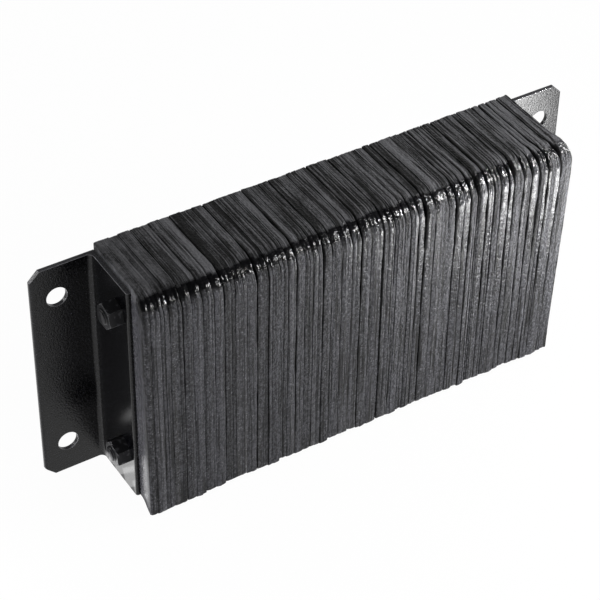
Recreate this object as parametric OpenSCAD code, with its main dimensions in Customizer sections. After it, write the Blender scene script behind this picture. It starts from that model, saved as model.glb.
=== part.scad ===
// Laminated dock bumper: rubber pads cut from tyre ply, pressed between two
// rolled steel angles by two tie rods with a hex nut at each end.
// The wall is the plane Y = 0, the rubber faces -Y and Z points up.
// The origin is the centre of the four wall bolt holes, on the wall.

/* [Rubber stack] */
// Length of the pressed stack, from angle to angle
stack_l = 452.2; // [300:0.1:900]
// Height of a pad
pad_h = 254; // [245:0.5:300]
// Distance from the wall to the front of the rubber
projection = 101.6; // [90:0.1:150]
// Gap between the wall and the back edge of the pads
back_gap = 0.5; // [0.2:0.1:8]
// How far the pads stand above the angles
pad_rise = 8; // [0:0.1:12]
// Radius of the upper front corner of a pad
nose_r = 24; // [12:0.5:36]
// Radius of the lower front corner of a pad
chin_r = 3; // [1:0.5:10]
// Radius of the two back corners of a pad
back_r = 1; // [0.5:0.5:10]
// Most that the upper edge of a pad differs from its size
top_spread = 0.5; // [0:0.1:2]
// Most that the lower edge of a pad differs from its size
foot_spread = 1.2; // [0:0.1:2]
// Most that the front of a pad differs from its size
front_spread = 0.5; // [0:0.1:1]
// How far the first pads at the left hang below the others
long_pad_drop = 4; // [0:0.1:5]

/* [Steel angles] */
// Height of an angle
angle_h = 247.6; // [236:0.1:260]
// Width of the flange against the wall, from the heel
flange_w = 66; // [56:0.1:90]
// Depth of the leg beside the rubber, from the wall
leg_d = 71; // [66:0.1:85]
// Thickness of both legs of an angle
angle_t = 4.5; // [3:0.1:8]
// Radius of the fillet inside an angle
fillet_r = 5; // [2:0.1:8]
// Radius of the inner edge of both toes
toe_r = 2.4; // [0.5:0.1:2.8]
// Length cut off the outer corners of the flange, along each edge
corner_cut = 10; // [2:0.5:14]

/* [Wall bolt holes] */
// Diameter of a wall bolt hole
bolt_hole_d = 20.6; // [12:0.1:24]
// Distance from the outer edge of the flange to a hole's centre
bolt_edge = 25.4; // [20:0.1:28]
// Distance between the upper and the lower hole
bolt_pitch = 177.8; // [140:0.1:190]

/* [Tie rods] */
// Diameter of a tie rod
rod_d = 15.9; // [10:0.1:18]
// Clearance of a rod in the pads and the angles, on diameter
rod_clearance = 1.6; // [0.2:0.1:1.8]
// Distance from the wall to the rods' axes
rod_out = 51; // [42:0.1:52]
// Distance between the two rods
rod_pitch = 168; // [120:0.5:180]
// Height of the rods' middle above the bolt holes' middle
rod_mid = 6; // [-8:0.5:12]
// Length of a rod that stands out of its nut
rod_proud = 2.5; // [1:0.1:10]
// Width of a nut across its flats
nut_flats = 23.8; // [22:0.1:30]
// Height of a nut
nut_h = 13.9; // [8:0.1:20]

/* [Hidden] */
// Thickness of each pad from left to right before the stack is pressed, by eye
ply = [
    6.5, 8.5, 9, 12, 9, 9.5, 11.5, 10.5, 11.5, 12, 11, 12, 12, 8.5, 9, 9,
    9, 10.5, 9, 11, 11, 10.5, 10.5, 13.5, 12, 11, 7, 9, 8, 10.5, 14.5,
    9, 9, 7.5, 8, 11.5, 8, 7.5, 9.5, 6, 10, 7.5, 8, 8.5, 13.5, 13.5
];
pad_n = len(ply);
// Step that the pressed pads' seams are rounded to, so that pads meet face to face
seam_grid = 0.01;
// Number of the longer pads at the left end
long_pads = 6;
// Radial play that stands for the thread between nut and rod
thread_play = 0.1;
// Slope of the chamfer on a nut's outer corners
nut_chamfer_angle = 30;
// Turn of the nuts about their rods: left upper, left lower, right upper, right lower
nut_turns = [15, 6, 5, 24];
// Chamfer on the ends of a rod
rod_chamfer = 1.2;
// Overlap of a cutting body past the face that it cuts
past = 1;
$fn = 64;

rubber_colour = [0.20, 0.20, 0.21];
paint_colour = [0.07, 0.07, 0.08];

stack_x = stack_l / 2;
pad_top = angle_h / 2 + pad_rise;
pad_bottom = pad_top - pad_h;
rod_heights = [rod_mid + rod_pitch / 2, rod_mid - rod_pitch / 2];
rod_hole_d = rod_d + rod_clearance;
nut_seat_x = stack_x + angle_t;
rod_end_x = nut_seat_x + nut_h + rod_proud;
nut_corner_r = nut_flats / 2 / cos(30);

// Cutting differences of the pads, fixed by their seeds
top_cuts = rands(-top_spread, top_spread, pad_n, 21);
bottom_cuts = rands(-foot_spread, foot_spread, pad_n, 22);
front_cuts = rands(-front_spread, front_spread, pad_n, 23);

function total(list, count) = count == 0 ? 0 : list[count - 1] + total(list, count - 1);
function seam_x(i) = round(stack_l * (total(ply, i) / total(ply, pad_n) - 1 / 2) / seam_grid) * seam_grid;
function pad_name(i) = str("pad_", i < 9 ? "0" : "", i + 1);

// What a rounding of radius r takes off the corner at the 2D origin
module corner_waste(r) {
    difference() {
        translate([-past, -past])
            square(r + past);
        translate([r, r])
            circle(r);
    }
}

// Stands a 2D outline drawn in Y and Z up and extrudes it along X
module along_x(x, length) {
    translate([x, 0, 0])
        rotate([90, 0, 90])
            linear_extrude(length)
                children();
}

// A cylinder along X from x, on a rod's axis at height z
module rod_line(x, length, d, z) {
    translate([x, -rod_out, z])
        rotate([0, 90, 0])
            cylinder(h = length, d = d);
}

// Side view of pad i in Y and Z: square-cut back, round nose at the top of the front
module pad_outline(i) {
    front = -projection + front_cuts[i];
    top = pad_top + top_cuts[i];
    bottom = pad_bottom + bottom_cuts[i] - (i < long_pads ? long_pad_drop : 0);
    difference() {
        translate([front, bottom])
            square([-back_gap - front, top - bottom]);
        translate([front, bottom])
            corner_waste(chin_r);
        translate([front, top])
            mirror([0, 1])
                corner_waste(nose_r);
        translate([-back_gap, bottom])
            mirror([1, 0])
                corner_waste(back_r);
        translate([-back_gap, top])
            rotate(180)
                corner_waste(back_r);
        for (z = rod_heights)
            translate([-rod_out, z])
                circle(d = rod_hole_d);
    }
}

module pad(i) {
    color(rubber_colour)
        along_x(seam_x(i), seam_x(i + 1) - seam_x(i))
            pad_outline(i);
}

// Rolled section of an angle in X and Y, heel at the 2D origin, flange towards +X
module angle_section() {
    difference() {
        union() {
            translate([0, -angle_t])
                square([flange_w, angle_t]);
            translate([0, -leg_d])
                square([angle_t, leg_d]);
            translate([angle_t, -angle_t])
                mirror([0, 1])
                    corner_fill(fillet_r);
        }
        translate([flange_w, -angle_t])
            mirror([1, 0])
                corner_waste(toe_r);
        translate([angle_t, -leg_d])
            mirror([1, 0])
                corner_waste(toe_r);
    }
}

// Fillet of radius r in the corner at the 2D origin, between +X and +Y
module corner_fill(r) {
    difference() {
        square(r);
        translate([r, r])
            circle(r);
    }
}

// Cuts the flange's outer corner at its upper end
module flange_corner() {
    translate([flange_w, 0, angle_h / 2])
        rotate([0, -45, 0])
            cube([corner_cut * sqrt(2), 2 * angle_t + 2 * past, 4 * corner_cut], center = true);
}

// The angle at the right end of the stack, heel on the stack and the wall
module angle_right_solid() {
    translate([stack_x, 0, 0])
        difference() {
            translate([0, 0, -angle_h / 2])
                linear_extrude(angle_h)
                    angle_section();
            flange_corner();
            mirror([0, 0, 1])
                flange_corner();
            for (z = [-bolt_pitch / 2, bolt_pitch / 2])
                translate([flange_w - bolt_edge, past, z])
                    rotate([90, 0, 0])
                        cylinder(h = angle_t + 2 * past, d = bolt_hole_d);
            for (z = rod_heights)
                rod_line(-past, angle_t + 2 * past, rod_hole_d, z);
        }
}

module angle_right() {
    color(paint_colour)
        angle_right_solid();
}

module angle_left() {
    color(paint_colour)
        mirror([1, 0, 0])
            angle_right_solid();
}

// A rod through the whole stack with chamfered ends, at height z
module tie_rod(z) {
    profile_r = rod_d / 2;
    color(paint_colour)
        translate([-rod_end_x, -rod_out, z])
            rotate([0, 90, 0])
                rotate_extrude()
                    polygon([
                        [0, 0],
                        [profile_r - rod_chamfer, 0],
                        [profile_r, rod_chamfer],
                        [profile_r, 2 * rod_end_x - rod_chamfer],
                        [profile_r - rod_chamfer, 2 * rod_end_x],
                        [0, 2 * rod_end_x]
                    ]);
}

module tie_rod_upper() tie_rod(rod_heights[0]);
module tie_rod_lower() tie_rod(rod_heights[1]);

// A hex nut along Z from its seat at the origin, its outer corners chamfered
module nut_solid(turn) {
    drop = (nut_corner_r - nut_flats / 2) * tan(nut_chamfer_angle);
    difference() {
        intersection() {
            rotate(turn)
                cylinder(h = nut_h, r = nut_corner_r, $fn = 6);
            rotate_extrude()
                polygon([
                    [0, 0],
                    [nut_corner_r + past, 0],
                    [nut_corner_r + past, nut_h - drop - past * tan(nut_chamfer_angle)],
                    [nut_flats / 2, nut_h],
                    [0, nut_h]
                ]);
        }
        translate([0, 0, -past])
            cylinder(h = nut_h + 2 * past, d = rod_d + 2 * thread_play);
    }
}

// Nut number k on its rod, on the outside of the angle at side -1 or 1
module nut(k, side, z) {
    color(paint_colour)
        translate([side * nut_seat_x, -rod_out, z])
            rotate([0, side * 90, 0])
                nut_solid(nut_turns[k]);
}

module nut_left_upper() nut(0, -1, rod_heights[0]);
module nut_left_lower() nut(1, -1, rod_heights[1]);
module nut_right_upper() nut(2, 1, rod_heights[0]);
module nut_right_lower() nut(3, 1, rod_heights[1]);

angle_left();
angle_right();
tie_rod_upper();
tie_rod_lower();
nut_left_upper();
nut_left_lower();
nut_right_upper();
nut_right_lower();
for (i = [0:pad_n - 1])
    pad(i);
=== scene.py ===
"""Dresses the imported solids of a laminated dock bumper: rubber pads, painted angles, tie rods and nuts."""

import math

import bmesh
import bpy
import numpy as np
from bpy.props import FloatProperty, FloatVectorProperty, IntProperty, PointerProperty
from mathutils import Matrix, Vector
from mathutils.geometry import delaunay_2d_cdt


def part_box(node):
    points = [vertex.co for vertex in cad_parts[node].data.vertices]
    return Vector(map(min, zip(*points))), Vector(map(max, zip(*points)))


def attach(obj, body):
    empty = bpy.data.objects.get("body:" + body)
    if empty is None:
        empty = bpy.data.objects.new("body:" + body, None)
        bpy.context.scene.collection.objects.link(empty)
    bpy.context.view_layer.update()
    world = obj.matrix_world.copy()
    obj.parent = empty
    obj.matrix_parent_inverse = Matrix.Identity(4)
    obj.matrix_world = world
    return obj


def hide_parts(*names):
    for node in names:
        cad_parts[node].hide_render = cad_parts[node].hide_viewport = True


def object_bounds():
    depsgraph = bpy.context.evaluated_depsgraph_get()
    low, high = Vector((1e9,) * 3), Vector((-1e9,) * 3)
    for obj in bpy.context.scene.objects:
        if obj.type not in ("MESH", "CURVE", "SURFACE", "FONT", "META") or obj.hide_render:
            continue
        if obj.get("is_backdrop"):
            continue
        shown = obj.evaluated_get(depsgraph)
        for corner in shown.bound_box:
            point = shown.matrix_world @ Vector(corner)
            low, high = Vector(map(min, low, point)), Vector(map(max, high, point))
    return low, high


bl_info = {
    "name": "Laminated dock bumper",
    "version": (1, 0, 0),
    "blender": (4, 5, 0),
    "location": "3D View > Sidebar > Bumper",
    "description": "Builds the looks of a laminated dock bumper around its packed solids",
    "category": "Add Mesh",
}

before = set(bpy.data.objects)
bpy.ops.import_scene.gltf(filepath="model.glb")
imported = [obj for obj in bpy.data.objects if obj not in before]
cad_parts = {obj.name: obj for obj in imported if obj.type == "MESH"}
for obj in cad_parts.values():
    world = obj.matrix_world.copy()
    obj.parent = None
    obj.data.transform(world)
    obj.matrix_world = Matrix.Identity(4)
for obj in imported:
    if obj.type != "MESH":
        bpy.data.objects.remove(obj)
cad_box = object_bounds()

MM = 0.001
FULL_TURN = 2 * math.pi
BODY = "root"

# Nodes of the frame, with the pads from left to right
PADS = sorted(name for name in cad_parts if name.startswith("pad_"))
ANGLES = ("angle_left", "angle_right")
RODS = ("tie_rod_upper", "tie_rod_lower")
NUTS = ("nut_left_upper", "nut_left_lower", "nut_right_upper", "nut_right_lower")
LAST_PAD = len(PADS) - 1
LEG_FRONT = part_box("angle_left")[0].y

# A seam has the number of the pad at its left, counted from 1. The two ends of the stack count as seams.
END_SEAMS = (0, len(PADS))
# Seams that gape
OPEN_SEAMS = (4, 8, 11, 15, 18, 22, 24, 29, 32, 35, 36, 39, 43, 44)
# Lengths in metres over which cracks widen and narrow, the darkening beside seams comes and goes, and seams
# stray
CRACK_WAVES = (0.19, 0.083, 0.037)
SEAM_DARKENING_WAVES = (0.11, 0.06, 0.035)
STRAY_WAVES = (0.31, 0.17, 0.08)
# Depth of a crack for each unit of its reach, and the range of that reach as shares of the usual one
CRACK_DEPTH = 2.0
CRACK_RANGE = (0.7, 1.3)
# How deep a crack has to be for its painted shade to be full black
BLACK_DEPTH = 0.5 * MM
# Pads at each end that lean outwards in front of the angles
FLARED_PADS = 6
# Pads at the left that are cut from smooth tread, and what is left of the grain there
SMOOTH_PADS = 4
SMOOTH_GRAIN = 0.45
# Ranges of a ply's width and of a pad's crown, as shares of the usual ones
PLY_WIDTHS = (0.45, 1.55)
CROWN_RANGE = (0.3, 1.7)
# Places of the mesh lines beside a seam, as shares of its crack's reach
EDGE_LINES = np.array([0, 0.3, 0.65, 1.1, 1.8])
# Least distance between two mesh lines, and how near the border of two plies a line lies in their groove
LEAST_SPACING = 0.12 * MM
GROOVE_SPACING = 0.13 * MM
# Shares by which plies are thinner, and the nose's skin is worn thinner, at the right end of the stack
PLY_THINNING = 0.1
SKIN_WEAR = 0.28
# Height above a pad's foot in which its plies differ in length
FOOT_HEIGHT = 30 * MM
# Widths of the borders between knife cut and nose skin, and between nose skin and worn front
CUT_BORDER = 5 * MM
SKIN_BORDER = 3 * MM

# Each use of random numbers has a stream of its own for each pad or seam
STRAY_STREAM = 0
PLY_STREAM = 100
CRACK_STREAM = 300
SWELL_STREAM = 400
SEAM_DARKENING_STREAM = 500

# What the pads' meshes tell the rubber, with the value on their sides
RUBBER_ATTRIBUTES = {
    "ply_tone": 1.2,
    "ply_sheen": 0.85,
    # knife_cut marks the cut faces, whose grey is partly painted sheen
    "knife_cut": 0.0,
    "nose_skin": 0.0,
    # groove carries painted shade in the cracks and grooves, with darkening beside the seams
    "groove": 0.0,
    "grain": 1.2,
    "drag_marks": 0.0,
}
# What the steel's meshes tell the enamel: 1 along their edges, and 1 on faces across the stack
# The edge value lightens the enamel, partly as wear and partly as painted highlight
EDGE_ATTRIBUTE = "worn_and_highlit_edge"
COAT_ATTRIBUTE = "smooth_coat"

# Grain of the rubber's patterns along X, Y and Z in millimetres, and the detail of their noise.
# Cords are fine across the stack and long both ways along a cut edge. Real cords, grains and crumbs are
# under 1 mm, too fine to show, so they are drawn as coarse as they need to show.
RUBBER_PATTERNS = {
    "cords": ((1.1, 160, 160), 3.0),
    "drags": ((1.9, 90, 90), 3.0),
    "grains": ((2.7, 2.7, 3.0), 2.0),
    "crumbs": ((1.4, 1.4, 1.6), 0.0),
    "stains": ((9, 26, 40), 3.0),
}
# Width of the slow waves in the enamel, in millimetres
ENAMEL_WAVE = 30
# Refraction, set below the usual 1.5 because dust takes some of the shine
RUBBER_IOR = 1.36
ENAMEL_IOR = 1.36
# Share of the floor's look that is plain white. The rest takes the shadow.
WHITE_FLOOR = 0.97
# Strength of the light from all round
AMBIENT = 0.55

# Angles at which a mesh is shaded sharp, at which paint rounds an edge, and below which two faces are one
PAD_SHARP = math.radians(55)
ROD_SHARP = math.radians(50)
PAINTED_EDGE = math.radians(28)
ONE_FACE = math.radians(1)
# Distance at which two corners of a solid are one
WELD = 0.01 * MM
# Least share of a face's normal along an axis for the face to lie across that axis
ACROSS = 0.9
ROD_SIDES = 40
HOLE_SIDES = 32
THREAD_STEPS = 8
# Blender's number for triangles inside a rim, without those in its holes
INSIDE_WITHOUT_HOLES = 2
# Distance in metres at which two points of a pad's side are one
SIDE_WELD = 1e-9
SENSOR_WIDTH = 36
# Lit cards on the floor: their place in X, their rows in Y and their lift, and where they face
CARD_X = -0.265
CARD_ROWS = np.arange(-0.095, 0, 0.02)
CARD_LIFT = 4 * MM
CARD_FACING = Vector((0.1, -0.35, 0.93))


def linear(text):
    """Linear colour of an sRGB hex value such as #1a2b3c."""
    parts = [int(text[i:i + 2], 16) / 255 for i in (1, 3, 5)]
    return [c / 12.92 if c <= 0.04045 else ((c + 0.055) / 1.055) ** 2.4 for c in parts]


def length(name, millimetres, description):
    """A length property, written in millimetres and kept in metres."""
    return FloatProperty(
        name=name, description=description, default=millimetres * MM, unit="LENGTH", precision=5)


def colour(name, text, description):
    """A colour property, written as sRGB hex."""
    return FloatVectorProperty(
        name=name, description=description, default=linear(text), size=3, subtype="COLOR")


def rotation(name, degrees, description):
    """An angle property, written in degrees and kept in radians."""
    return FloatProperty(name=name, description=description, default=math.radians(degrees), unit="ROTATION")


def power(name, watts, description):
    """A property for the power of a lamp."""
    return FloatProperty(name=name, description=description, default=watts, unit="POWER")


class PadLooks(bpy.types.PropertyGroup):
    """Shape and colours of the rubber pads"""

    nose_radius: length("Nose radius", 24, "Radius of the upper front corner of a pad")
    chin_radius: length("Chin radius", 3, "Radius of the lower front corner of a pad")
    back_radius: length("Back radius", 1, "Radius of the two back corners of a pad")
    rod_clearance: length("Rod clearance", 1.6, "Clearance of a rod in the pads, on diameter")
    outline_step: length("Outline step", 3, "Spacing of mesh points along a pad's outline")
    arc_step: length("Arc step", 2, "Spacing of mesh points along a pad's round corners")
    side_step: length("Side step", 12, "Spacing of mesh points on the sides of a pad")
    shut_crack: length("Shut crack", 0.5, "How far a shut crack between two pads reaches into each")
    open_crack: length("Open crack", 0.9, "How far a gaping crack between two pads reaches into each")
    end_edge: length("End edge", 3.5, "Edge radius at the front of the outermost pads")
    flare: length("Flare", 5, "How far the outermost pads bulge past the angles' legs")
    wander: length("Wander", 0.4, "How far a seam strays from a straight line")
    ply_width: length("Ply width", 4.5, "Usual width of a ply on a cut edge")
    crown: length("Crown", 0.4, "How far the edges of a pad's front fall back from its middle")
    ply_groove: length("Ply groove", 0.5, "Most depth of the groove between two plies")
    groove_width: length("Groove width", 0.4, "Half the width of the groove between two plies")
    ply_step: length("Ply step", 0.3, "Most that one ply stands back from its neighbours")
    ply_tilt: length("Ply tilt", 0.2, "Most that one side of a ply stands out from the other")
    ply_drop: length("Ply drop", 0.4, "Most that one ply's lower end differs from its pad's")
    unevenness: length("Unevenness", 0.1, "Usual height of the lumps on a cut edge")
    nose_lumps: length("Nose lumps", 0.22, "Further height of the lumps on the nose")
    # How far the darkening beside a seam reaches on a pad's top
    seam_darkening: length("Smudge", 2.2, "How far smudges reach from the seams on a pad's top")
    ragged: length("Ragged border", 1.4, "How far the borders of the nose's skin stray")
    # The cut's grey is partly the rubber's own and partly painted sheen
    cut_dark: colour("Cut rubber, dark", "#0d0d0e", "Darkest plies on a knife-cut face")
    cut_light_with_painted_sheen: colour("Cut rubber, light", "#59595c", "Lightest plies on a knife-cut face")
    worn_dark: colour("Worn rubber, dark", "#050506", "Darkest grains on the worn front")
    worn_light: colour("Worn rubber, light", "#4b4b50", "Lightest grains on the worn front")
    crumbs: colour("Crumbs", "#9a9aa0", "Rare pale crumbs on the worn front")
    skin: colour("Skin", "#0b0b0d", "Moulded skin on the nose")
    # Colour of the painted shade in cracks and grooves, and of the dark marks
    painted_shade_and_dark_marks: colour("Dirt", "#040405", "Dirt in the cracks and grooves")
    seed: IntProperty(name="Seed", description="Seed of the pads' uneven cutting", default=7)


class SteelLooks(bpy.types.PropertyGroup):
    """Edges, thread and colours of the painted steel"""

    angle_edge: length("Angle edge", 0.8, "Radius of the paint on the angles' edges")
    nut_edge: length("Nut edge", 1.2, "Radius of the paint on the nuts' edges")
    # Up-facing faces take some edge colour, partly wear and partly painted highlight
    rim_wear_and_highlight: FloatProperty(
        name="Rim wear", description="Share of worn enamel on the angles' upper rims",
        default=0.25, subtype="FACTOR")
    thread_pitch: length("Thread pitch", 2.31, "Pitch of the tie rods' thread")
    thread_depth: length("Thread depth", 1.0, "Depth of the tie rods' thread, part filled by paint")
    thread_run: length("Thread run", 32, "Length of the thread at each end of a rod")
    rod_chamfer: length("Rod chamfer", 1.2, "Chamfer on the ends of a rod")
    enamel: colour("Enamel", "#010102", "Black enamel of the angles")
    specks: colour("Specks", "#202024", "Dust caught in the sprayed enamel")
    # The light colours of worn edges and rubbed corners are partly wear and partly painted highlight
    edges: colour("Worn edges", "#77777b", "Enamel rubbed thin on the angles' edges")
    corners: colour("Rubbed corners", "#b4b4b8", "Enamel rubbed through on the nuts' corners")
    daub: colour("Daubed enamel", "#19191b", "Thick black enamel of the rods and nuts")
    mottle: colour("Mottle", "#3a3a3d", "Worn patches in the daubed enamel")


class StageLooks(bpy.types.PropertyGroup):
    """Camera, floor and light"""

    camera_place: FloatVectorProperty(
        name="Camera place", description="Where the camera stands", default=(-0.8507, -1.3303, 1.2992),
        size=3, subtype="TRANSLATION", unit="LENGTH")
    azimuth: rotation("Azimuth", -32.37, "Turn of the view about the vertical")
    elevation: rotation("Elevation", 40.16, "Height of the view above the horizon")
    roll: rotation("Roll", 1.0, "Tilt of the camera about its own axis")
    lens: FloatProperty(
        name="Lens", description="Focal length on a sensor 36 mm wide", default=126.3, unit="CAMERA")
    floor: colour("Floor", "#f4f4f4", "Pale floor under the bumper")
    floor_size: length("Floor size", 12000, "Width of the floor")
    key_power: power("Key lamp", 9.8, "Power of the large soft lamp")
    fill_power: power("Fill lamp", 2.3, "Power of the low soft lamp at the left")
    rim_power: power("Rim lamp", 5.0, "Power of the lamp that draws the left end's edges")
    spark_power: power("Spark lamp", 1.5, "Power of the small lamp that makes the nose sparkle")
    strip_power: power("Strip lamp", 1.75, "Power of the low lamp that gives the front its gloss")
    flange_power: power("Flange lamp", 0.14, "Power of the low lamp that the right flange mirrors")
    card_power: power("Card lamps", 0.0026, "Power of each lit card under the left end")


def shown(sockets, name):
    """The socket of that name, or of that number, that a node shows in its present mode."""
    if isinstance(name, int):
        return sockets[name]
    return next(socket for socket in sockets if socket.name == name and socket.enabled)


def add(tree, kind, inputs=None, **settings):
    """Adds a node. An input that is given a socket, or a node for its first output, is linked to it."""
    node = tree.nodes.new(kind)
    for name, value in settings.items():
        setattr(node, name, value)
    for name, value in (inputs or {}).items():
        if isinstance(value, bpy.types.Node):
            value = next(socket for socket in value.outputs if socket.enabled)
        if isinstance(value, bpy.types.NodeSocket):
            tree.links.new(value, shown(node.inputs, name))
        else:
            shown(node.inputs, name).default_value = value
    return node


def empty_material(name):
    """A new material and its node tree, with no nodes."""
    material = bpy.data.materials.new(name)
    material.use_nodes = True
    material.node_tree.nodes.clear()
    return material, material.node_tree


def rgba(value):
    """A colour property as the four numbers that a socket takes."""
    return (*value, 1.0)


def grain_scale(millimetres):
    """Scale of a pattern whose grains measure that much along X, Y and Z."""
    return [1 / (size * MM) for size in millimetres]


def tyre_rubber(looks):
    """Rubber plies of old tyres, stamped out and stacked.

    The knife leaves the upper faces grey and matt, with drag marks along the cut; their grey is partly the
    cut rubber's own and partly painted sheen. The nose keeps its moulded skin, black and glossy. The front is
    worn: grey grains that sparkle a little, in upright plies that are some matt and some half glossy."""
    material, tree = empty_material("tyre_rubber_die_cut")
    place = add(tree, "ShaderNodeTexCoord").outputs["Object"]
    ply, sheen, cut, skin, groove, grain, dragged = (
        add(tree, "ShaderNodeAttribute", attribute_name=name).outputs["Fac"] for name in RUBBER_ATTRIBUTES)
    patterns = {}
    for name, (grain_size, detail) in RUBBER_PATTERNS.items():
        scaled = add(tree, "ShaderNodeMapping", {"Vector": place, "Scale": grain_scale(grain_size)})
        patterns[name] = add(tree, "ShaderNodeTexNoise", {"Vector": scaled, "Scale": 1.0, "Detail": detail})

    # Cords show as lines, clear on the cut and on the skin but faint on the worn front
    lines = add(tree, "ShaderNodeMapRange", {
        "Value": patterns["cords"], "From Min": 0.42, "From Max": 0.58})
    ribbed = add(tree, "ShaderNodeMath", {0: cut, 1: skin}, operation="MAXIMUM")
    line_share = add(tree, "ShaderNodeMapRange", {"Value": ribbed, "To Min": 0.3, "To Max": 1.0})
    seen_lines = add(tree, "ShaderNodeMath", {0: line_share, 1: grain}, operation="MULTIPLY")
    shown_lines = add(tree, "ShaderNodeMix", {"Factor": seen_lines, "A": 0.5, "B": lines})
    lined = add(tree, "ShaderNodeMix", {"Factor": 0.45, "A": ply, "B": shown_lines})

    # Tones of the cut, with stains, its grey partly painted sheen, and of the worn front, with grains
    speckle = add(tree, "ShaderNodeMapRange", {
        "Value": patterns["grains"], "From Min": 0.42, "From Max": 0.6})
    patches = add(tree, "ShaderNodeMapRange", {
        "Value": patterns["stains"], "From Min": 0.38, "From Max": 0.6})
    patched = add(tree, "ShaderNodeMix", {"Factor": 0.2, "A": lined, "B": patches})
    grained = add(tree, "ShaderNodeMix", {"Factor": 0.1, "A": patched, "B": speckle})
    cut_tone = add(tree, "ShaderNodeMapRange", {"Value": grained, "From Min": 0.3, "From Max": 0.7})
    speckle_share = add(tree, "ShaderNodeMath", {0: grain, 1: 0.4}, operation="MULTIPLY")
    worn_tone = add(tree, "ShaderNodeMix", {"Factor": speckle_share, "A": lined, "B": speckle})
    crumb = add(tree, "ShaderNodeMapRange", {
        "Value": patterns["crumbs"], "From Min": 0.68, "From Max": 0.76, "To Max": 0.25})

    # Painted shade lies in the cracks and grooves, with darkening beside the seams, and dirt in the knife's
    # drag marks
    streak = add(tree, "ShaderNodeMapRange", {
        "Value": patterns["drags"], "From Min": 0.43, "From Max": 0.46, "To Min": 0.8, "To Max": 0.0})
    shown_streak = add(tree, "ShaderNodeMath", {0: streak, 1: dragged}, operation="MULTIPLY")
    painted_shade_and_dark_marks = add(tree, "ShaderNodeMath", {0: groove, 1: shown_streak}, operation="MAXIMUM")

    cut_colour_with_painted_sheen = add(tree, "ShaderNodeMix", data_type="RGBA", inputs={
        "Factor": cut_tone, "A": rgba(looks.cut_dark), "B": rgba(looks.cut_light_with_painted_sheen)})
    worn_colour = add(tree, "ShaderNodeMix", data_type="RGBA", inputs={
        "Factor": worn_tone, "A": rgba(looks.worn_dark), "B": rgba(looks.worn_light)})
    crumbed = add(tree, "ShaderNodeMix", data_type="RGBA", inputs={
        "Factor": crumb, "A": worn_colour, "B": rgba(looks.crumbs)})
    front_colour = add(tree, "ShaderNodeMix", data_type="RGBA", inputs={
        "Factor": skin, "A": crumbed, "B": rgba(looks.skin)})
    face_colour = add(tree, "ShaderNodeMix", data_type="RGBA", inputs={
        "Factor": cut, "A": front_colour, "B": cut_colour_with_painted_sheen})
    shaded_and_marked = add(tree, "ShaderNodeMix", data_type="RGBA", inputs={
        "Factor": painted_shade_and_dark_marks, "A": face_colour, "B": rgba(looks.painted_shade_and_dark_marks)})

    # The cut is matt, the skin glossy, and the worn front between the two, by its plies
    worn_roughness = add(tree, "ShaderNodeMapRange", {"Value": sheen, "To Min": 0.72, "To Max": 0.17})
    front_roughness = add(tree, "ShaderNodeMix", {"Factor": skin, "A": worn_roughness, "B": 0.18})
    roughness = add(tree, "ShaderNodeMix", {"Factor": cut, "A": front_roughness, "B": 0.85})

    # Grains stand up as pebbles, flatter on glossy plies and on the skin
    cord_bump = add(tree, "ShaderNodeBump", {
        "Height": shown_lines, "Strength": 0.4, "Distance": 0.15 * MM})
    smoothed = add(tree, "ShaderNodeMath", {0: sheen, 1: 0.5}, operation="MULTIPLY")
    moulded = add(tree, "ShaderNodeMath", {0: skin, 1: 0.75}, operation="MULTIPLY")
    flattened = add(tree, "ShaderNodeMath", {0: smoothed, 1: moulded}, operation="MAXIMUM")
    pebbles = add(tree, "ShaderNodeMix", {"Factor": flattened, "A": speckle, "B": 0.5})
    pebble_height = add(tree, "ShaderNodeMath", {0: grain, 1: 0.55 * MM}, operation="MULTIPLY")
    grain_bump = add(tree, "ShaderNodeBump", {
        "Height": pebbles, "Strength": 0.7, "Distance": pebble_height, "Normal": cord_bump})
    shader = add(tree, "ShaderNodeBsdfPrincipled", {
        "Base Color": shaded_and_marked, "Roughness": roughness, "IOR": RUBBER_IOR, "Normal": grain_bump})
    add(tree, "ShaderNodeOutputMaterial", {"Surface": shader})
    return material


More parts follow.
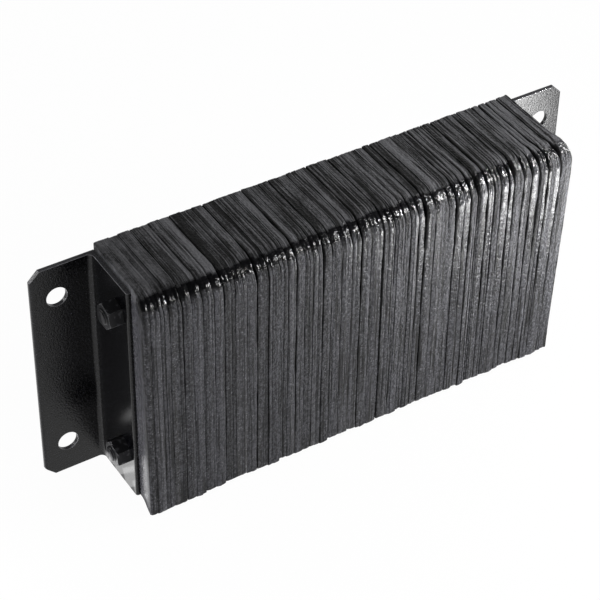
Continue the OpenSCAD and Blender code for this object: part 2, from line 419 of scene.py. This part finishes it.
def enamel(name, paint, specks, edges, peel_size, peel_height, gloss):
    """Black enamel on rolled steel: a dark gloss that its orange peel breaks up.

    It is thin, smooth and a little worn on the edges, which draw bright lines; their light colour is partly
    wear and partly painted highlight. Faces across the stack, which the spray met at a slant, are smooth and
    mirror the dark beside them. The peel's size and height are in millimetres, and gloss is the range of its
    roughness."""
    material, tree = empty_material(name)
    place = add(tree, "ShaderNodeTexCoord").outputs["Object"]
    edge, coat = (
        add(tree, "ShaderNodeAttribute", attribute_name=attribute).outputs["Fac"]
        for attribute in (EDGE_ATTRIBUTE, COAT_ATTRIBUTE))
    patterns = []
    for grain_size, detail in ((peel_size, 1.5), (ENAMEL_WAVE, 1.0), (0.7 * peel_size, 0.0)):
        scaled = add(tree, "ShaderNodeMapping", {"Vector": place, "Scale": grain_scale([grain_size] * 3)})
        patterns.append(add(tree, "ShaderNodeTexNoise", {"Vector": scaled, "Scale": 1.0, "Detail": detail}))
    peel, waves, dust = patterns
    speck = add(tree, "ShaderNodeMapRange", {"Value": dust, "From Min": 0.64, "From Max": 0.74})
    specked = add(tree, "ShaderNodeMix", data_type="RGBA", inputs={
        "Factor": speck, "A": rgba(paint), "B": rgba(specks)})
    # Painted highlight: the edges' light colour, partly wear, stands in for the bright lines that light draws
    # along them
    worn = add(tree, "ShaderNodeMix", data_type="RGBA", inputs={
        "Factor": edge, "A": specked, "B": rgba(edges)})
    peel_roughness = add(tree, "ShaderNodeMapRange", {
        "Value": peel, "From Min": 0.35, "From Max": 0.65, "To Min": gloss[0], "To Max": gloss[1]})
    roughness = add(tree, "ShaderNodeMix", {"Factor": coat, "A": peel_roughness, "B": sum(gloss) / 2})
    wave_bump = add(tree, "ShaderNodeBump", {"Height": waves, "Strength": 0.3, "Distance": 0.6 * MM})
    flat = add(tree, "ShaderNodeMath", {0: edge, 1: coat}, operation="MAXIMUM")
    drawn = add(tree, "ShaderNodeMix", {"Factor": flat, "A": peel, "B": 0.5})
    peel_bump = add(tree, "ShaderNodeBump", {
        "Height": drawn, "Strength": 0.5, "Distance": peel_height * MM, "Normal": wave_bump})
    shader = add(tree, "ShaderNodeBsdfPrincipled", {
        "Base Color": worn, "Roughness": roughness, "IOR": ENAMEL_IOR, "Normal": peel_bump})
    add(tree, "ShaderNodeOutputMaterial", {"Surface": shader})
    return material


def sprayed_enamel(looks):
    """Sprayed on the angles: a mirror that fine orange peel breaks into specks.

    Real peel is under 1 mm wide, too fine to show, so it is drawn as coarse as it needs to show."""
    return enamel(
        "black_enamel_sprayed", looks.enamel, looks.specks, looks.edges,
        peel_size=1.6, peel_height=0.5, gloss=(0.12, 0.34))


def daubed_enamel(looks):
    """Brushed thickly over nuts and thread: it runs and pools, so the flats look mottled."""
    return enamel(
        "black_enamel_brushed_thick", looks.daub, looks.mottle, looks.corners,
        peel_size=5, peel_height=0.5, gloss=(0.3, 0.5))


def studio_floor(looks):
    """Matt white board. It takes the bumper's soft shadow, and looks white to the eye and in reflections."""
    material, tree = empty_material("white_board_matt")
    path = add(tree, "ShaderNodeLightPath").outputs
    seen = path["Is Camera Ray"]
    for ray in ("Is Glossy Ray", "Is Transmission Ray"):
        seen = add(tree, "ShaderNodeMath", {0: seen, 1: path[ray]}, operation="MAXIMUM")
    share = add(tree, "ShaderNodeMath", {0: seen, 1: WHITE_FLOOR}, operation="MULTIPLY")
    board = add(tree, "ShaderNodeBsdfDiffuse", {"Color": rgba(looks.floor)})
    white = add(tree, "ShaderNodeEmission", {"Color": (1, 1, 1, 1), "Strength": 1.0})
    surface = add(tree, "ShaderNodeMixShader", {0: share, 1: board, 2: white})
    add(tree, "ShaderNodeOutputMaterial", {"Surface": surface})
    return material


def smoothstep(value):
    """0 below 0, 1 above 1, and a smooth rise between."""
    value = np.clip(value, 0, 1)
    return value * value * (3 - 2 * value)


def height_share(z, box):
    """Heights as shares of a box's height, 0 at its foot and 1 at its top."""
    return (z - box[0].z) / (box[1].z - box[0].z)


def stream(kind, number, looks):
    """Random numbers for one use at one pad or seam."""
    return np.random.default_rng([looks.seed, kind + number])


def waves_along(points, waves, rng):
    """Sum of waves along a pad's outline, at points of Y and Z, each with a phase of its own."""
    # This grows along the outline from the back of the top to the foot of the front
    run = -points.sum(axis=1)
    return sum(np.sin(FULL_TURN * run / wave + rng.uniform(0, FULL_TURN)) for wave in waves)


def straight(start, end, step):
    """Points between two ends, without the ends."""
    count = max(1, round(math.dist(start, end) / step))
    return [tuple(p) for p in np.linspace(start, end, count + 1)[1:-1]]


def pad_outline(box, looks):
    """Side outline of a pad: points in Y and Z, and the outward normals there, from the back over the top."""
    (_, front, bottom), (_, back, top) = box
    # Each corner's place, its radius and the angle at which its arc starts
    corners = (
        (back, top, looks.back_radius, 0),
        (front, top, looks.nose_radius, 90),
        (front, bottom, looks.chin_radius, 180),
        (back, bottom, looks.back_radius, 270),
    )
    points, normals = [], []
    for y, z, radius, start in corners:
        steps = max(3, round(radius * math.pi / 2 / looks.arc_step))
        middle = math.radians(start + 45)
        centre_y = y - math.copysign(radius, math.cos(middle))
        centre_z = z - math.copysign(radius, math.sin(middle))
        outward = [(math.cos(a), math.sin(a)) for a in np.radians(np.linspace(start, start + 90, steps + 1))]
        arc = [(centre_y + radius * out_y, centre_z + radius * out_z) for out_y, out_z in outward]
        if points:
            points += straight(points[-1], arc[0], looks.outline_step)
            normals += [normals[-1]] * (len(points) - len(normals))
        points += arc
        normals += outward
    points += straight(points[-1], points[0], looks.outline_step)
    normals += [normals[-1]] * (len(points) - len(normals))
    return np.array(points), np.array(normals)


def crack_reach(seam, looks):
    """How far the crack at a seam usually reaches into the pads beside it."""
    if seam in END_SEAMS:
        return looks.end_edge
    rightness = seam / len(PADS)
    # Cracks gape towards the right end, and shut ones are fine in the left half
    gape = 1 + 0.7 * rightness ** 3
    if seam in OPEN_SEAMS:
        usual = looks.open_crack
    else:
        usual = looks.shut_crack
        gape *= min(1, 0.55 + 0.9 * rightness)
    return gape * usual * stream(CRACK_STREAM, seam, looks).uniform(*CRACK_RANGE)


def crack_fall(seam, distance, points, front, looks):
    """How far a pad falls back into the crack at an inner seam, at points of Y and Z, that far from the seam.

    Front is 0 on top of the pad and 1 on its front, where cracks are widest just below the nose."""
    swell = waves_along(points, CRACK_WAVES, stream(SWELL_STREAM, seam, looks))
    height = height_share(points[:, 1:], cad_box)
    on_top = 1.2 if seam in OPEN_SEAMS else 0.8
    width = on_top + front * (0.8 - on_top + (0.4 + 0.9 * seam / len(PADS)) * height ** 2)
    reach = crack_reach(seam, looks) * np.clip(0.9 + 0.2 * swell, 0.3, 1.6)[:, None] * width
    return CRACK_DEPTH * reach * np.clip(1 - distance / reach, 0, 1) ** 2


def seam_darkening_share(seam, distance, points, front, looks):
    """Share of darkening beside an inner seam on top of a pad, in patches along the seam."""
    patch = waves_along(points, SEAM_DARKENING_WAVES, stream(SEAM_DARKENING_STREAM, seam, looks))
    return (1 - front) * smoothstep(patch)[:, None] * np.clip(1 - distance / looks.seam_darkening, 0, 1)


def end_fall(distance, points, front, box, looks):
    """How far an outermost pad's outer edge falls back: crisp on top, round in front, less so low down."""
    height = height_share(points[:, 1:], box)
    radius = looks.end_edge * (0.12 + 0.88 * front * (0.2 + 0.8 * smoothstep(height)))
    inside = np.clip(radius - distance, 0, radius)
    return radius - np.sqrt(radius ** 2 - inside ** 2)


class PlyColumns:
    """Lines of mesh points across the thickness of a pad, with what the plies give each line."""

    def __init__(self, index, thickness, ply_width, looks, rng):
        self.count = max(1, round(thickness / ply_width))
        widths = rng.uniform(*PLY_WIDTHS, self.count)
        bounds = np.concatenate([[0], np.cumsum(widths)]) * thickness / widths.sum()
        inner = bounds[1:-1]
        middles = (bounds[:-1] + bounds[1:]) / 2
        places = np.concatenate([
            crack_reach(index, looks) * EDGE_LINES,
            inner - looks.groove_width, inner, inner + looks.groove_width, middles,
            thickness - crack_reach(index + 1, looks) * EDGE_LINES])
        places = np.unique(np.round(np.clip(places, 0, thickness), 7))
        apart = np.concatenate([[True], np.diff(places) > LEAST_SPACING])
        apart[-1] = True
        self.place = places[apart]
        self.share = self.place / thickness
        self.ply = np.clip(np.searchsorted(bounds, self.place, side="right") - 1, 0, self.count - 1)
        half = (bounds[1:] - bounds[:-1])[self.ply] / 2
        tilt = rng.uniform(-1, 1, self.count)[self.ply] * looks.ply_tilt
        lean = tilt * (self.place - middles[self.ply]) / half
        stand = -rng.uniform(0, 1, self.count)[self.ply] * looks.ply_step
        depths = rng.uniform(0, 1, self.count + 1) ** 2 * looks.ply_groove
        near = np.abs(self.place[:, None] - inner[None, :]) < GROOVE_SPACING
        self.groove = np.max(np.where(near, depths[None, 1:-1], 0), axis=1, initial=0)
        self.height = lean + stand
        # A ply's tone is part its pad's and part its own
        mixed = 0.55 * rng.uniform(0, 1) + 0.45 * rng.uniform(0, 1, self.count)[self.ply]
        self.tone = np.clip(0.5 + 1.5 * (mixed - 0.5), 0, 1)
        self.sheen = rng.uniform(0, 1, self.count)[self.ply]
        self.lower_end = rng.uniform(-1, 1, self.count)[self.ply] * looks.ply_drop


def seam_shift(seam, points, looks):
    """How far a seam lies from its straight line in X, at points of Y and Z.

    Seams near the ends bulge past the legs."""
    y, z = points[:, 0], points[:, 1]
    low, high = cad_box
    rng = stream(STRAY_STREAM, seam, looks)
    stray = np.zeros(len(points))
    for wave in STRAY_WAVES:
        phase = rng.uniform(0, FULL_TURN, 2)
        stray += np.sin(FULL_TURN * z / wave + phase[0]) * np.cos(math.pi * y / wave + phase[1])
    if seam in END_SEAMS:
        stray[:] = 0
    left = max(0, 1 - seam / FLARED_PADS)
    right = max(0, 1 - (len(PADS) - seam) / FLARED_PADS)
    # The right end bulges most near the nose
    raised = 0.2 + 1.5 * smoothstep(height_share(z, cad_box))
    bulge = looks.flare * smoothstep((LEG_FRONT - y) / (LEG_FRONT - low.y)) * (right * raised - left)
    on_front = smoothstep((high.z - z) / (2 * looks.nose_radius))
    return looks.wander * (0.3 + 0.7 * on_front) * stray / 2 + bulge


def surface_zones(points, normals, columns, box, looks, rng):
    """Shares of knife-cut face and of nose skin at the mesh points of a pad. The rest is worn front."""
    ragged = rng.uniform(-1, 1, (2, columns.count))[:, columns.ply] * looks.ragged
    # The skin covers the middle of the nose's arc, and the underside is mostly cut
    nose_start = box[0].y + 0.6 * looks.nose_radius
    nose_end = box[1].z - 0.5 * looks.nose_radius
    y, z = points[:, :1], points[:, 1:]
    top = smoothstep((y - nose_start + ragged[0]) / CUT_BORDER + 0.5)
    front = smoothstep((nose_end - z + ragged[1]) / SKIN_BORDER + 0.5)
    underside = normals[:, 1:] < -0.3
    return np.where(underside, 0.7, top), np.where(underside, 0, (1 - top) * (1 - front))


def ply_finish(index, columns, front):
    """Tone and sheen of a pad's plies."""
    rightness = index / LAST_PAD
    # Tones are even on the smooth pads, and lighter towards the right, most of all in front
    if index < SMOOTH_PADS:
        tone = 0.64 - 0.14 * front + (0.4 + 0.6 * front) * (columns.tone - 0.5)
    else:
        tone = columns.tone - 0.1 - 0.1 * front + (0.42 + 0.58 * front) * rightness ** 2
    # Glossy plies are rare at the left and common at the right, and the last pad is matt
    glossy = smoothstep((columns.sheen - 0.9 + 0.5 * rightness) / 0.15 + 0.5)
    sheen = (0.1 * columns.sheen + 0.9 * glossy) * (0.25 if index == LAST_PAD else 1)
    return tone, sheen


def pad_surface(index, box, looks):
    """Mesh points around a pad, by outline point and ply line, and the values there for RUBBER_ATTRIBUTES."""
    thickness = box[1].x - box[0].x
    rightness = index / LAST_PAD
    rng = stream(PLY_STREAM, index, looks)
    points, normals = pad_outline(box, looks)
    columns = PlyColumns(index, thickness, looks.ply_width * (1 - PLY_THINNING * rightness), looks, rng)
    cut, skin = surface_zones(points, normals, columns, box, looks, rng)
    skin = skin * (1 - SKIN_WEAR * rightness ** 2)
    # From 0 on top to 1 in front
    front = smoothstep(-1.5 * normals[:, :1])
    # Grain is weak on top of the smooth pads, and doubles from left to right on the others
    if index < SMOOTH_PADS:
        grain = SMOOTH_GRAIN + (1 - SMOOTH_GRAIN) * front
    else:
        grain = 0.8 + 0.8 * rightness

    lumps = rng.normal(0, 1, (len(points), columns.count))[:, columns.ply]
    lumps = (2 * lumps + np.roll(lumps, 1, axis=0) + np.roll(lumps, -1, axis=0)) / 4
    lumps = lumps * (grain * looks.unevenness + looks.nose_lumps * skin)
    # Grooves are shallower on top, and only the front is crowned
    grooves = columns.groove * (0.55 + 0.45 * front)
    crown = looks.crown * rng.uniform(*CROWN_RANGE) * front * (2 * columns.share - 1) ** 2
    fall, seam_darkening = np.zeros((2, len(points), len(columns.place)))
    for seam, distance in ((index, columns.place), (index + 1, thickness - columns.place)):
        if seam in END_SEAMS:
            fall += end_fall(distance, points, front, box, looks)
        else:
            fall += crack_fall(seam, distance, points, front, looks)
            seam_darkening += seam_darkening_share(seam, distance, points, front, looks)

    height = grain * (columns.height - grooves) - crown + lumps - fall
    left, right = (seam_shift(seam, points, looks)[:, None] for seam in (index, index + 1))
    x = box[0].x + columns.place + left * (1 - columns.share) + right * columns.share
    y = points[:, :1] + normals[:, :1] * height
    z = points[:, 1:] + normals[:, 1:] * height
    z = z + smoothstep(1 - (points[:, 1:] - box[0].z) / FOOT_HEIGHT) * columns.lower_end

    # Painted shade: cracks and ply grooves darken by their depth, and the top darkens beside seams in patches
    painted_shade_and_dark_marks = np.clip(0.6 * grooves / looks.ply_groove + fall / BLACK_DEPTH + 0.6 * grain * seam_darkening, 0, 1)
    # The painted shade fades to none at the outer edges of the stack
    if index == 0:
        painted_shade_and_dark_marks *= columns.share
    elif index == LAST_PAD:
        painted_shade_and_dark_marks *= 1 - columns.share
    tone, sheen = ply_finish(index, columns, front)
    values = [np.broadcast_to(v, fall.shape) for v in (tone, sheen, cut, skin, painted_shade_and_dark_marks, grain, grain)]
    return np.stack([x, y, z], axis=-1), values


def rod_hole(rod, looks):
    """Rim of the hole for a rod, as points in Y and Z."""
    low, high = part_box(rod)
    radius = (high.z - low.z + looks.rod_clearance) / 2
    turns = np.linspace(0, FULL_TURN, HOLE_SIDES + 1)[:-1]
    y = (low.y + high.y) / 2 + radius * np.cos(turns)
    z = (low.z + high.z) / 2 + radius * np.sin(turns)
    return np.stack([y, z], axis=1)


def side_mesh(ring, holes, step):
    """Triangles over the side of a pad: its rim and holes, as rings in Y and Z, with inner points step apart.

    Gives the points, those of the rings first, the triangles, and how many points the rings have."""
    low, high = ring.min(axis=0), ring.max(axis=0)
    grid = [Vector((y, z)) for y in np.arange(low[0] + step, high[0] - step / 2, step)
            for z in np.arange(low[1] + step, high[1] - step / 2, step)]
    points, edges = [], []
    for loop in (ring, *holes):
        first = len(points)
        points += [Vector(p) for p in loop]
        edges += [(first + k, first + (k + 1) % len(loop)) for k in range(len(loop))]
    for hole in holes:
        centre = Vector(hole.mean(axis=0))
        reach = (Vector(hole[0]) - centre).length + step / 3
        grid = [p for p in grid if (p - centre).length > reach]
    found = delaunay_2d_cdt(points + grid, edges, [], INSIDE_WITHOUT_HOLES, SIDE_WELD)
    return np.array(found[0]), found[2], len(points)


def closed_pad(index, surface, box, looks):
    """Vertices and faces of a pad: the surface around it, its two sides and the walls of its rod holes."""
    rows, lines = surface.shape[:2]
    grid = np.arange(rows * lines).reshape(rows, lines)
    below = np.roll(grid, -1, axis=0)
    quads = np.stack([grid[:, :-1], grid[:, 1:], below[:, 1:], below[:, :-1]], axis=-1)
    vertices = [surface.reshape(-1, 3)]
    faces = quads.reshape(-1, 4).tolist()
    holes = [rod_hole(rod, looks) for rod in RODS]
    hole_rings = []
    for side, line in ((0, 0), (1, lines - 1)):
        flat, triangles, ring_count = side_mesh(surface[:, line, 1:], holes, looks.side_step)
        inner = flat[rows:]
        inner_x = (box[side].x + seam_shift(index + side, inner, looks))[:, None]
        start = sum(len(v) for v in vertices)
        numbers = np.concatenate([grid[:, line], np.arange(start, start + len(inner))])
        vertices.append(np.concatenate([inner_x, inner], axis=1))
        faces += [numbers[list(t if side else t[::-1])].tolist() for t in triangles]
        hole_rings.append(numbers[rows:ring_count].tolist())
    for first in range(0, len(RODS) * HOLE_SIDES, HOLE_SIDES):
        left, right = (ring[first:first + HOLE_SIDES] for ring in hole_rings)
        faces += [(left[n - 1], left[n], right[n], right[n - 1]) for n in range(HOLE_SIDES)]
    return np.concatenate(vertices), faces


def write_attribute(mesh, name, values, rest):
    """Writes values for the first vertices as a named attribute, and rest for the others."""
    full = np.full(len(mesh.vertices), rest, np.float32)
    full[:values.size] = np.asarray(values, np.float32).ravel()
    mesh.attributes.new(name, "FLOAT", "POINT").data.foreach_set("value", full)


def pad_mesh(index, looks):
    """Mesh of one pad, with its plies, edges and rod holes. Index counts from 0 at the left."""
    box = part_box(PADS[index])
    surface, painted = pad_surface(index, box, looks)
    vertices, faces = closed_pad(index, surface, box, looks)
    mesh = bpy.data.meshes.new(PADS[index])
    mesh.from_pydata(vertices.tolist(), [], faces)
    for (name, side_value), values in zip(RUBBER_ATTRIBUTES.items(), painted):
        write_attribute(mesh, name, values, side_value)
    mesh.shade_smooth()
    mesh.set_sharp_from_angle(angle=PAD_SHARP)
    return mesh


def softened_copy(node, edge_radius, rim_wear_and_highlight=0):
    """A copy of a CAD node's mesh with its edges rounded, as paint rounds them, and its upper rims worn and
    lit with a painted highlight.
    """
    work = bmesh.new()
    work.from_mesh(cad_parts[node].data)
    bmesh.ops.remove_doubles(work, verts=work.verts, dist=WELD)
    bmesh.ops.dissolve_limit(work, angle_limit=ONE_FACE, verts=work.verts, edges=work.edges)
    sharp = [e for e in work.edges if len(e.link_faces) == 2 and e.calc_face_angle() > PAINTED_EDGE]
    made = bmesh.ops.bevel(
        work, geom=sharp, offset=edge_radius, offset_type="OFFSET", segments=3, profile=0.5,
        affect="EDGES", clamp_overlap=True)
    rounded = set(made["faces"])
    edge_layer = work.verts.layers.float.new(EDGE_ATTRIBUTE)
    coat_layer = work.verts.layers.float.new(COAT_ATTRIBUTE)
    for vertex in work.verts:
        # Faces that face up take some edge colour, partly wear and partly painted highlight
        on_rim = any(face.normal.z > ACROSS for face in vertex.link_faces)
        vertex[edge_layer] = max(rounded.issuperset(vertex.link_faces), rim_wear_and_highlight * on_rim)
        vertex[coat_layer] = float(any(abs(face.normal.x) > ACROSS for face in vertex.link_faces))
    bmesh.ops.triangulate(work, faces=[f for f in work.faces if len(f.verts) > 4])
    mesh = bpy.data.meshes.new(node)
    work.to_mesh(mesh)
    work.free()
    mesh.shade_smooth()
    return mesh


def rod_mesh(node, looks):
    """A tie rod along X, threaded at both ends."""
    low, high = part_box(node)
    radius = (high.z - low.z) / 2
    span = high.x - low.x
    turns = np.linspace(0, FULL_TURN, ROD_SIDES + 1)[:-1]
    threaded = np.arange(0, looks.thread_run, looks.thread_pitch / THREAD_STEPS)
    along = np.concatenate([threaded, span - threaded[::-1]])
    phase = along[:, None] / looks.thread_pitch - turns / FULL_TURN
    # From 0 on a crest to 1 in a root, both of which are cut flat
    flank = np.clip(1.25 * np.abs(2 * (phase % 1) - 1) - 0.125, 0, 1)
    from_end = np.minimum(along, span - along)[:, None]
    fade = smoothstep((looks.thread_run - from_end) / (3 * looks.thread_pitch))
    reach = radius - fade * looks.thread_depth * flank
    reach = np.minimum(reach, radius - looks.rod_chamfer + from_end)
    rings = np.stack([
        np.broadcast_to(low.x + along[:, None], reach.shape),
        (low.y + high.y) / 2 + reach * np.cos(turns),
        (low.z + high.z) / 2 + reach * np.sin(turns)], axis=-1)
    grid = np.arange(reach.size).reshape(reach.shape)
    beside = np.roll(grid, -1, axis=1)
    quads = np.stack([grid[:-1], beside[:-1], beside[1:], grid[1:]], axis=-1).reshape(-1, 4)
    faces = [*quads.tolist(), grid[0][::-1].tolist(), grid[-1].tolist()]
    mesh = bpy.data.meshes.new(node)
    mesh.from_pydata(rings.reshape(-1, 3).tolist(), [], faces)
    mesh.shade_smooth()
    mesh.set_sharp_from_angle(angle=ROD_SHARP)
    return mesh


def add_piece(name, mesh, node, material):
    """Puts a mesh in the scene in place of a CAD node."""
    piece = bpy.data.objects.new(name, mesh)
    bpy.context.scene.collection.objects.link(piece)
    mesh.materials.clear()
    mesh.materials.append(material)
    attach(piece, BODY)
    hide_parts(node)
    return piece


def add_painted(node, mesh, paint):
    """Puts a painted steel piece in the scene, with its flat faces shaded flat."""
    piece = add_piece(f"painted_{node}", mesh, node, paint)
    piece.modifiers.new("flat faces", "WEIGHTED_NORMAL").keep_sharp = True


class BUMPER_OT_pads(bpy.types.Operator):
    """Builds the rubber pads with their plies, seams and worn fronts"""

    bl_idname = "bumper.pads"
    bl_label = "Rubber pads"

    def execute(self, context):
        looks = context.scene.bumper_pads
        rubber = tyre_rubber(looks)
        for index, node in enumerate(PADS):
            add_piece(f"rubber_{node}", pad_mesh(index, looks), node, rubber)
        return {"FINISHED"}


class BUMPER_OT_angles(bpy.types.Operator):
    """Builds the painted angles at both ends of the stack"""

    bl_idname = "bumper.angles"
    bl_label = "Steel angles"

    def execute(self, context):
        looks = context.scene.bumper_steel
        paint = sprayed_enamel(looks)
        for node in ANGLES:
            mesh = softened_copy(node, looks.angle_edge, looks.rim_wear_and_highlight)
            add_painted(node, mesh, paint)
        return {"FINISHED"}


class BUMPER_OT_tie_rods(bpy.types.Operator):
    """Builds the threaded tie rods"""

    bl_idname = "bumper.tie_rods"
    bl_label = "Tie rods"

    def execute(self, context):
        looks = context.scene.bumper_steel
        paint = daubed_enamel(looks)
        for node in RODS:
            add_piece(f"threaded_{node}", rod_mesh(node, looks), node, paint)
        return {"FINISHED"}


class BUMPER_OT_nuts(bpy.types.Operator):
    """Builds the painted hex nuts"""

    bl_idname = "bumper.nuts"
    bl_label = "Hex nuts"

    def execute(self, context):
        looks = context.scene.bumper_steel
        paint = daubed_enamel(looks)
        for node in NUTS:
            add_painted(node, softened_copy(node, looks.nut_edge), paint)
        return {"FINISHED"}


def add_floor(level, looks):
    """The floor, a square board at that level."""
    half = looks.floor_size / 2
    corners = [(-half, -half, level), (half, -half, level), (half, half, level), (-half, half, level)]
    board = bpy.data.meshes.new("floor")
    board.from_pydata(corners, [], [(0, 1, 2, 3)])
    board.materials.append(studio_floor(looks))
    floor = bpy.data.objects.new("floor", board)
    bpy.context.scene.collection.objects.link(floor)
    floor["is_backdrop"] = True


def add_lamp(name, place, target, size, watts):
    """A rectangular soft lamp that the camera doesn't see. Its size is its width and height."""
    data = bpy.data.lights.new(name, "AREA")
    data.shape = "RECTANGLE"
    data.size, data.size_y = size
    data.energy = watts
    lamp = bpy.data.objects.new(name, data)
    lamp.location = place
    lamp.rotation_euler = (Vector(target) - Vector(place)).to_track_quat("-Z", "Y").to_euler()
    lamp.visible_camera = False
    bpy.context.scene.collection.objects.link(lamp)
    return lamp


def add_light(centre, looks):
    """Two lamps that give light but no highlights: a large one at the right and a low one at the left."""
    key = add_lamp(
        "key", place=centre + Vector((0.75, -0.5, 0.42)), target=centre, size=(0.6, 0.45),
        watts=looks.key_power)
    fill = add_lamp(
        "fill", place=(-0.6, -0.13, -0.11), target=(-0.23, -0.09, -0.05), size=(0.15, 0.1),
        watts=looks.fill_power)
    for lamp in (key, fill):
        lamp.visible_glossy = False


def add_highlights(centre, floor_level, looks):
    """Lamps that only reflections show, as cards beside a glossy product do."""
    spark = add_lamp(
        "spark", place=centre + Vector((0.66, -0.58, 0.54)), target=(0.18, -0.1, 0.12), size=(0.16, 0.11),
        watts=looks.spark_power)
    spark.data.spread = math.radians(46)
    rim = add_lamp(
        "rim", place=(-1.1, 0.9, 0.5), target=(-0.25, 0, 0.05), size=(0.6, 0.4), watts=looks.rim_power)
    strip = add_lamp(
        "strip", place=(0.31, -0.26, -0.03), target=(0.175, -0.1, 0.115), size=(0.24, 0.09),
        watts=looks.strip_power)
    # The middle of the front gets a weaker strip
    weak_strip = add_lamp(
        "strip", place=(0.15, -0.26, -0.03), target=(0.015, -0.1, 0.115), size=(0.16, 0.09),
        watts=0.14 * looks.strip_power)
    flange = add_lamp(
        "flange", place=(0.43, -0.18, -0.1), target=(0.275, 0, 0.06), size=(0.14, 0.12),
        watts=looks.flange_power)
    lamps = [spark, rim, strip, weak_strip, flange]
    # The cards are tilted like louvres: the left leg and the pads' end mirror them, the flange doesn't
    for y in CARD_ROWS:
        place = Vector((CARD_X, y, floor_level + CARD_LIFT))
        card = add_lamp(
            "card", place=place, target=place + CARD_FACING, size=(0.07, 0.021), watts=looks.card_power)
        card.data.spread = math.radians(100)
        lamps.append(card)
    for lamp in lamps:
        lamp.visible_diffuse = False


def studio_world():
    """White surroundings with a dark ceiling, which only reflections show."""
    world = bpy.data.worlds.new("studio")
    world.use_nodes = True
    tree = world.node_tree
    tree.nodes.clear()
    path = add(tree, "ShaderNodeLightPath").outputs
    direction = add(tree, "ShaderNodeTexCoord").outputs["Generated"]
    up = add(tree, "ShaderNodeSeparateXYZ", {"Vector": direction}).outputs["Z"]
    ceiling = add(tree, "ShaderNodeMapRange", {
        "Value": up, "From Min": 0.12, "From Max": 0.42, "To Min": 1.0, "To Max": 0.02})
    mirrored = add(tree, "ShaderNodeMix", {"Factor": path["Is Glossy Ray"], "A": AMBIENT, "B": ceiling})
    strength = add(tree, "ShaderNodeMix", {"Factor": path["Is Camera Ray"], "A": mirrored, "B": 1.0})
    background = add(tree, "ShaderNodeBackground", {"Color": (1, 1, 1, 1), "Strength": strength})
    add(tree, "ShaderNodeOutputWorld", {"Surface": background})
    return world


def add_camera(looks):
    """The camera, from its place and its three angles."""
    azimuth, elevation = looks.azimuth, looks.elevation
    back = Vector((
        math.sin(azimuth) * math.cos(elevation),
        -math.cos(azimuth) * math.cos(elevation),
        math.sin(elevation)))
    right = Vector((math.cos(azimuth), math.sin(azimuth), 0))
    upright = Matrix((right, back.cross(right), back)).transposed().to_4x4()
    data = bpy.data.cameras.new("camera")
    data.lens = looks.lens
    data.sensor_width = SENSOR_WIDTH
    camera = bpy.data.objects.new("camera", data)
    camera.matrix_world = (
        Matrix.Translation(looks.camera_place) @ upright @ Matrix.Rotation(looks.roll, 4, "Z"))
    bpy.context.scene.collection.objects.link(camera)
    bpy.context.scene.camera = camera


class BUMPER_OT_stage(bpy.types.Operator):
    """Sets up the floor, the lamps and the camera"""

    bl_idname = "bumper.stage"
    bl_label = "Stage"

    def execute(self, context):
        looks = context.scene.bumper_stage
        low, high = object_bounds()
        centre = (low + high) / 2
        add_floor(low.z, looks)
        add_light(centre, looks)
        add_highlights(centre, low.z, looks)
        context.scene.world = studio_world()
        context.scene.view_settings.view_transform = "Standard"
        add_camera(looks)
        return {"FINISHED"}


class BUMPER_PT_sidebar(bpy.types.Panel):
    """Lists the steps that build the bumper, with their sizes and colours"""

    bl_idname = "BUMPER_PT_sidebar"
    bl_label = "Dock bumper"
    bl_space_type = "VIEW_3D"
    bl_region_type = "UI"
    bl_category = "Bumper"

    def draw(self, context):
        for operator, group in STEPS:
            self.layout.operator(operator.bl_idname)
            looks = getattr(context.scene, group)
            for name in looks.__annotations__:
                self.layout.prop(looks, name)


STEPS = (
    (BUMPER_OT_pads, "bumper_pads"),
    (BUMPER_OT_angles, "bumper_steel"),
    (BUMPER_OT_tie_rods, "bumper_steel"),
    (BUMPER_OT_nuts, "bumper_steel"),
    (BUMPER_OT_stage, "bumper_stage"),
)
GROUPS = {"bumper_pads": PadLooks, "bumper_steel": SteelLooks, "bumper_stage": StageLooks}
CLASSES = (*GROUPS.values(), *(operator for operator, _ in STEPS), BUMPER_PT_sidebar)


def register():
    """Adds the classes, and the groups of properties to each scene."""
    for item in CLASSES:
        bpy.utils.register_class(item)
    for name, group in GROUPS.items():
        setattr(bpy.types.Scene, name, PointerProperty(type=group))


def unregister():
    """Takes out what register adds."""
    for name in GROUPS:
        delattr(bpy.types.Scene, name)
    for item in reversed(CLASSES):
        bpy.utils.unregister_class(item)


def main():
    """Builds every piece and the stage."""
    register()
    bpy.ops.bumper.pads()
    bpy.ops.bumper.angles()
    bpy.ops.bumper.tie_rods()
    bpy.ops.bumper.nuts()
    bpy.ops.bumper.stage()


if __name__ == "__main__":
    main()
